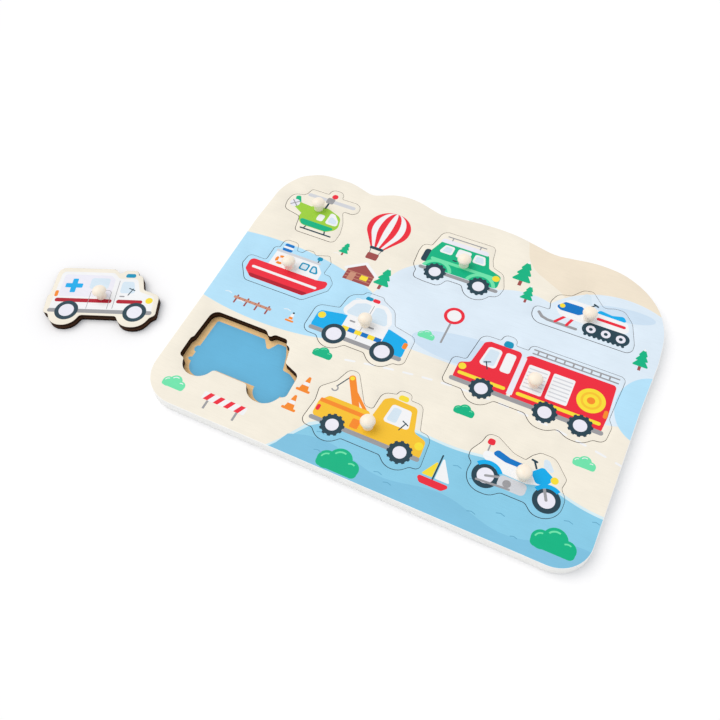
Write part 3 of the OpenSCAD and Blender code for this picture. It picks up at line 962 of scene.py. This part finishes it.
class Shell:
    """Points, faces, slots and a flat map of one closed mesh, gathered part by part."""

    def __init__(self):
        self.points = []
        self.faces = []
        self.slots = []
        self.maps = []

    def point(self, x, y, z):
        self.points.append((x, y, z))
        return len(self.points) - 1

    def face(self, corners, slot, flat):
        self.faces.append(corners)
        self.slots.append(slot)
        self.maps.append(flat)

    def flat_face(self, corners, slot, layout):
        """A face below the top that lies flat, mapped where the underside is."""
        self.face(corners, slot, [layout.below(*self.points[c][:2]) for c in corners])

    def object(self, name, low, high):
        """The mesh as an object in metres; ply_depth runs from 0 below to 1 on top."""
        mesh = bpy.data.meshes.new(name)
        mesh.from_pydata([Vector(p) * MM for p in self.points], [], self.faces)
        names = sorted(set(self.slots))
        for slot in names:
            mesh.materials.append(MATERIALS[slot])
        mesh.polygons.foreach_set("material_index", [names.index(slot) for slot in self.slots])
        depth = mesh.attributes.new("ply_depth", "FLOAT", "POINT")
        depth.data.foreach_set("value", [(p[2] - low) / (high - low) for p in self.points])
        flat = mesh.uv_layers.new(name="OFBake")
        flat.data.foreach_set("uv", [value for face in self.maps for corner in face for value in corner])
        mesh.validate()
        mesh.shade_smooth()
        mesh.set_sharp_from_angle(angle=math.radians(PANEL_SHARP))
        return placed(name, mesh)


# The flat map, 1 across: its margins, the room for the top, how small the rest is drawn,
# and the millimetres left free below each wall
MAP_MARGIN = 0.008
TOP_MAP_HEIGHT = 0.72
UNDERSIDE_SCALE = 0.27
WALL_SCALE = 0.5
ROW_GAP = 0.006
ROWS_WIDTH = 0.68
ROWS_MARGIN = 0.03
WALL_SPARE = 1


class Layout:
    """Where the top, the underside and the walls of a panel lie on its flat map."""

    def __init__(self, loop):
        self.left, self.front, right, rear = box_of(loop)
        self.scale = min((1 - 2 * MAP_MARGIN) / (right - self.left), TOP_MAP_HEIGHT / (rear - self.front))
        self.top = 1 - MAP_MARGIN - self.scale * (rear - self.front)
        self.run = 0
        self.row = self.top

    def on_top(self, x, y):
        return (MAP_MARGIN + (x - self.left) * self.scale, self.top + (y - self.front) * self.scale)

    def below(self, x, y):
        scale = self.scale * UNDERSIDE_SCALE
        return (ROWS_WIDTH + ROWS_MARGIN + (x - self.left) * scale, MAP_MARGIN + (y - self.front) * scale)

    def strip(self, length, depth):
        """Room for one stretch of wall: its left end, lower edge and width, and its scale."""
        width = length * self.scale * WALL_SCALE
        if self.run == 0 or self.run + width > ROWS_WIDTH:
            self.run = MAP_MARGIN
            self.row -= depth * self.scale * WALL_SCALE + ROW_GAP
        left = self.run
        self.run += width
        return left, self.row, width, self.scale * WALL_SCALE


def panel(name, node, drawing, blank, edges, underside):
    """A flat panel of wood with its print: the CAD node's outline with eased edges.

    edges gives the profiles of the outer edge and the holes from the top down, as steps
    of how far in, how far below the top, and the slot of the band that ends there."""
    low, high = box_mm(node)
    outlines = top_loops(node, high.z)
    outer, inner = edges(high.z - low.z)
    profiles = [outer] + [inner] * (len(outlines) - 1)
    borders = [inset(loop, profile[0][0]) for loop, profile in zip(outlines, profiles)]
    corners, triangles, inks = filled(borders, drawing, blank)
    shell = Shell()
    layout = Layout(borders[0])
    used = sorted({c for triangle in triangles for c in triangle})
    index = {c: shell.point(corners[c].x, corners[c].y, high.z) for c in used}
    for triangle, ink in zip(triangles, inks):
        flat = [layout.on_top(*corners[c]) for c in triangle]
        shell.face([index[c] for c in triangle], ink, flat)
    lowest = []
    for chain in chained(sorted(outer_edges(triangles))):
        which, spots = nearest_border(borders, [corners[c] for c in chain])
        ring = wall(shell, layout, [index[c] for c in chain], spots, outlines[which], profiles[which], high.z)
        _, depth, slot = profiles[which][-1]
        if depth < high.z - low.z:
            shell.flat_face(ring, slot, layout)
        else:
            lowest.append(ring)
    close_underside(shell, layout, lowest, underside)
    return shell.object(name, low.z, high.z)


def nearest_border(borders, points):
    """Which border the points lie along, and where on it each of them is."""
    spots = [[place_on(border, point) for point in points] for border in borders]
    which = min(range(len(borders)), key=lambda k: sum(gap for gap, _, _ in spots[k]))
    return which, [(i, share) for _, i, share in spots[which]]


def wall(shell, layout, ring, spots, outline, profile, top):
    """Walls down from a ring of points; gives the ring at their foot."""
    sides = [(Vector(shell.points[b]) - Vector(shell.points[a])).length for a, b in around(ring)]
    depth = profile[-1][1] + WALL_SPARE
    strips = [layout.strip(side, depth) for side in sides]
    for (_, drop_a, _), (set_in, drop_b, slot) in zip(profile, profile[1:]):
        loop = inset(outline, set_in)
        below = []
        for i, share in spots:
            spot = loop[i].lerp(loop[(i + 1) % len(loop)], share)
            below.append(shell.point(spot.x, spot.y, top - drop_b))
        for (a, b), (c, d), (left, foot, width, scale) in zip(around(ring), around(below), strips):
            v_a = foot + (depth - drop_a) * scale
            v_b = foot + (depth - drop_b) * scale
            flat = [(left, v_a), (left, v_b), (left + width, v_b), (left + width, v_a)]
            shell.face([a, c, d, b], slot, flat)
        ring = below
    return ring


def close_underside(shell, layout, rings, slot):
    """Triangles between the lowest rings, facing down."""
    index = [c for ring in rings for c in ring]
    points = [Vector(shell.points[c][:2]) for c in index]
    shapes = []
    start = 0
    for ring in rings:
        loop = list(range(start, start + len(ring)))
        shapes.append(loop if area([points[c] for c in loop]) > 0 else loop[::-1])
        start += len(ring)
    outer = max(range(len(shapes)), key=lambda k: area([points[c] for c in shapes[k]]))
    cut = delaunay_2d_cdt(points, [], shapes, INSIDE, UNDERSIDE_EPSILON, True)
    _, _, triangles, sources, _, holders = cut
    for triangle, inside in zip(triangles, holders):
        if list(inside) == [outer]:
            shell.flat_face([index[sources[c][0]] for c in reversed(triangle)], slot, layout)


def quarter(radius, slot):
    """Profile steps of a round edge, from the flat face outwards and down."""
    turns = [math.pi / 2 * k / RIM_STEPS for k in range(RIM_STEPS + 1)]
    return [(radius * (1 - math.sin(t)), radius * (1 - math.cos(t)), slot) for t in turns]


def eased(slot):
    """Profile steps of a sawn upper edge, from the flat face outwards and down."""
    middle = SAWN_EASE * EASE_MIDDLE
    return [(SAWN_EASE, 0, slot), (middle, middle, slot), (0, SAWN_EASE, slot)]


def frame_edges(thickness):
    """White round rim outside, and burnt walls down to the glue in the pockets."""
    rim = quarter(RIM_RADIUS, "rim") + [(0, thickness, "rim")]
    pocket = eased("sawn_pocket") + [(0, thickness, "sawn_pocket")]
    return rim, pocket


def back_edges(thickness):
    """White rim that turns round on to the underside; there are no holes."""
    foot = reversed(quarter(FOOT_RADIUS, "rim"))
    return [(0, 0, "")] + [(set_in, thickness - drop, slot) for set_in, drop, slot in foot], []


def piece_edges(thickness):
    """Burnt edge with its corners eased above and below, and a blind bore for the peg."""
    edge = eased("sawn") + [(0, thickness - FOOT_EASE, "sawn"), (FOOT_EASE, thickness, "sawn")]
    bore = [(0, 0, ""), (0, BORE_DEPTH, "birch")]
    return edge, bore


def dress(made, body, node):
    """Puts a piece on its body in place of a CAD node."""
    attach(made, body)
    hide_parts(node)


def loosened(drawing):
    """A drawing moved from the ambulance's pocket to where the ambulance lies."""
    turn = Matrix.Rotation(math.radians(LOOSE_TURN), 2)
    return [(ink, [tuple(turn @ (Vector(p) - POCKET_MIDDLE) + LOOSE_MIDDLE) for p in outline])
            for ink, outline in drawing]


def near(drawing, low, high):
    """The outlines that reach into a box."""
    kept = []
    for ink, outline in drawing:
        left, front, right, rear = box_of(outline)
        if left < high.x and right > low.x and front < high.y and rear > low.y:
            kept.append((ink, outline))
    return kept


def silhouette(pocket):
    """What lies at least the margin inside a pocket."""
    rim = []
    for start, end in around([Vector(p) for p in pocket]):
        steps = int((end - start).length / SILHOUETTE_STEP) + 1
        rim += [start.lerp(end, k / steps) for k in range(steps)]
    kept = []
    for point in inset(rim, -SILHOUETTE_MARGIN):
        clear = place_on(rim, point)[0] > SILHOUETTE_MARGIN - SAME_PLACE
        if clear and (not kept or (point - kept[-1]).length > SILHOUETTE_STEP / 2):
            kept.append(point)
    return [tuple(p) for p in kept]


def recesses():
    """Blue silhouettes on the backing: the empty pocket's, and one under each seated vehicle."""
    made = drawn(empty_pocket, POCKET_CORNER)
    for pocket in top_loops("frame_panel", box_mm("frame_panel")[1].z)[1:]:
        left, front, right, rear = box_of(pocket)
        if not (left < POCKET_MIDDLE.x < right and front < POCKET_MIDDLE.y < rear):
            made.append(("recess", silhouette(pocket)))
    for name in VEHICLES:
        if name != "ambulance":
            made += [("recess", outline) for _, outline in vehicle_print(name)]
    return made


def board():
    """The printed upper layer and the backing that shows in its pockets."""
    top = panel("board_top", "frame_panel", landscape(), "cream", frame_edges, "birch")
    dress(top, "board", "frame_panel")
    back = panel("board_back", "base_panel", recesses(), "back", back_edges, "back")
    dress(back, "board", "base_panel")


def vehicle_plate(name):
    """One flat vehicle, with the scenery running on over its margin."""
    node = name + "_piece"
    drawing = landscape() + vehicle_print(name)
    if name == "ambulance":
        drawing = loosened(drawing)
    low, high = box_mm(node)
    made = panel(name + "_plate", node, near(drawing, low, high), "cream", piece_edges, "birch")
    dress(made, name, node)


# Pegs


def peg_profile():
    """Half profile of a peg from the foot of its tenon up over its round head, in mm."""
    flare = HEAD_HEIGHT / 2
    dome = PEG_HEIGHT - HEAD_HEIGHT
    steps = int(90 / PEG_STEP)
    turns = [math.radians(PEG_STEP * k) for k in range(steps + 1)]
    waist = HEAD_R - FOOT_R
    neck = [(HEAD_R - waist * math.cos(t), HEAD_HEIGHT - flare * (1 - math.sin(t))) for t in turns]
    head = [(HEAD_R * math.cos(t), HEAD_HEIGHT + dome * math.sin(t)) for t in turns[1:-1]]
    tenon = [(TENON_R - FOOT_BEVEL, -TENON_LENGTH), (TENON_R, FOOT_BEVEL - TENON_LENGTH), (TENON_R, 0)]
    foot = [(FOOT_R - FOOT_BEVEL / 2, 0), (FOOT_R, FOOT_BEVEL / 2)]
    return tenon + foot + neck + head


def turned(rows, tip):
    """Points and faces of a solid turned from its half profile, closed by a tip on the axis."""
    turns = [math.tau * k / PEG_SIDES for k in range(PEG_SIDES)]
    points = [(r * math.cos(t), r * math.sin(t), z) for r, z in rows for t in turns]
    rings = [list(range(first, first + PEG_SIDES)) for first in range(0, len(points), PEG_SIDES)]
    faces = [rings[0][::-1]]
    for lower, upper in zip(rings, rings[1:]):
        faces += [(a, b, d, c) for (a, b), (c, d) in zip(around(lower), around(upper))]
    faces += [(a, b, len(points)) for a, b in around(rings[-1])]
    return points + [(0, 0, tip)], faces


def peg(name):
    """A turned peg that stands for the CAD node's plainer solid."""
    node = name + "_peg"
    low, high = box_mm(node)
    x = (low.x + high.x) / 2
    y = (low.y + high.y) / 2
    foot = high.z - PEG_HEIGHT
    points, faces = turned(peg_profile(), PEG_HEIGHT)
    mesh = bpy.data.meshes.new(name + "_knob")
    mesh.from_pydata([((px + x) * MM, (py + y) * MM, (pz + foot) * MM) for px, py, pz in points], [], faces)
    mesh.materials.append(MATERIALS["beech"])
    mesh.validate()
    mesh.shade_smooth()
    mesh.set_sharp_from_angle(angle=math.radians(PEG_SHARP))
    dress(placed(name + "_knob", mesh), name, node)


# Stage: the floor in metres, its colour as 0 to 255, and the lights


FLOOR_HALF = 4.0
FLOOR_Z = -0.00002
FLOOR_COLOUR = (251, 251, 252)
FLOOR_GLOW = (0.038, 0.038, 0.042, 1.0)
WORLD_COLOUR = (0.951, 0.975, 1.0, 1.0)
WORLD_STRENGTH = 0.7
BACKDROP_COLOUR = (1.0, 1.0, 1.0, 1.0)
SUN_COLOUR = (1.06, 1.0, 0.94)
SUN_STRENGTH = 1.18
SUN_ANGLE = 52
SUN_TRAVEL = Vector((0.6, -0.03, -1.0))


def floor_paper():
    """White paper that the camera sees a little brighter, so that it runs out to plain white."""
    paint = bpy.data.materials.new("floor_paper")
    paint.use_nodes = True
    tree = paint.node_tree
    shader = tree.nodes["Principled BSDF"]
    feed(tree, shader, {"Base Color": linear(FLOOR_COLOUR), "Roughness": 1.0, "Specular IOR Level": 0.0})
    seen = new_node(tree, "LightPath", {}).outputs["Is Camera Ray"]
    glow = new_node(tree, "Emission", {"Color": FLOOR_GLOW, "Strength": seen})
    both = new_node(tree, "AddShader", {0: shader.outputs["BSDF"], 1: glow.outputs["Emission"]})
    feed(tree, tree.nodes["Material Output"], {"Surface": both.outputs["Shader"]})
    return paint


def floor():
    mesh = bpy.data.meshes.new("floor")
    f = FLOOR_HALF
    corners = [(-f, -f, FLOOR_Z), (f, -f, FLOOR_Z), (f, f, FLOOR_Z), (-f, f, FLOOR_Z)]
    mesh.from_pydata(corners, [], [(0, 1, 2, 3)])
    mesh.materials.append(floor_paper())
    placed("floor", mesh)


def world():
    """Soft light from all round, behind which the camera sees plain white."""
    made = bpy.data.worlds.new("studio")
    made.use_nodes = True
    tree = made.node_tree
    light = tree.nodes["Background"]
    feed(tree, light, {"Color": WORLD_COLOUR, "Strength": WORLD_STRENGTH})
    backdrop = new_node(tree, "Background", {"Color": BACKDROP_COLOUR}).outputs["Background"]
    seen = new_node(tree, "LightPath", {}).outputs["Is Camera Ray"]
    pick = new_node(tree, "MixShader", {"Fac": seen, 1: light.outputs["Background"], 2: backdrop})
    feed(tree, tree.nodes["World Output"], {"Surface": pick.outputs["Shader"]})
    bpy.context.scene.world = made


def sun():
    lamp = bpy.data.lights.new("softbox", "SUN")
    lamp.energy = SUN_STRENGTH
    lamp.angle = math.radians(SUN_ANGLE)
    lamp.color = SUN_COLOUR
    placed("softbox", lamp).rotation_euler = SUN_TRAVEL.to_track_quat("-Z", "Y").to_euler()


def camera():
    lens = bpy.data.cameras.new("camera")
    lens.lens = CAMERA_LENS
    lens.sensor_width = CAMERA_SENSOR
    lens.clip_start = CAMERA_NEAR
    made = placed("camera", lens)
    turn = (Matrix.Rotation(math.radians(CAMERA_HEADING), 4, "Z")
            @ Matrix.Rotation(math.radians(90 - CAMERA_PITCH), 4, "X")
            @ Matrix.Rotation(math.radians(-CAMERA_ROLL), 4, "Z"))
    made.matrix_world = Matrix.Translation(Vector(CAMERA_PLACE) * MM) @ turn
    bpy.context.scene.camera = made


camera()
world()
sun()
floor()
board()
for vehicle in VEHICLES:
    vehicle_plate(vehicle)
    peg(vehicle)

bpy.context.scene.view_settings.view_transform = "Standard"
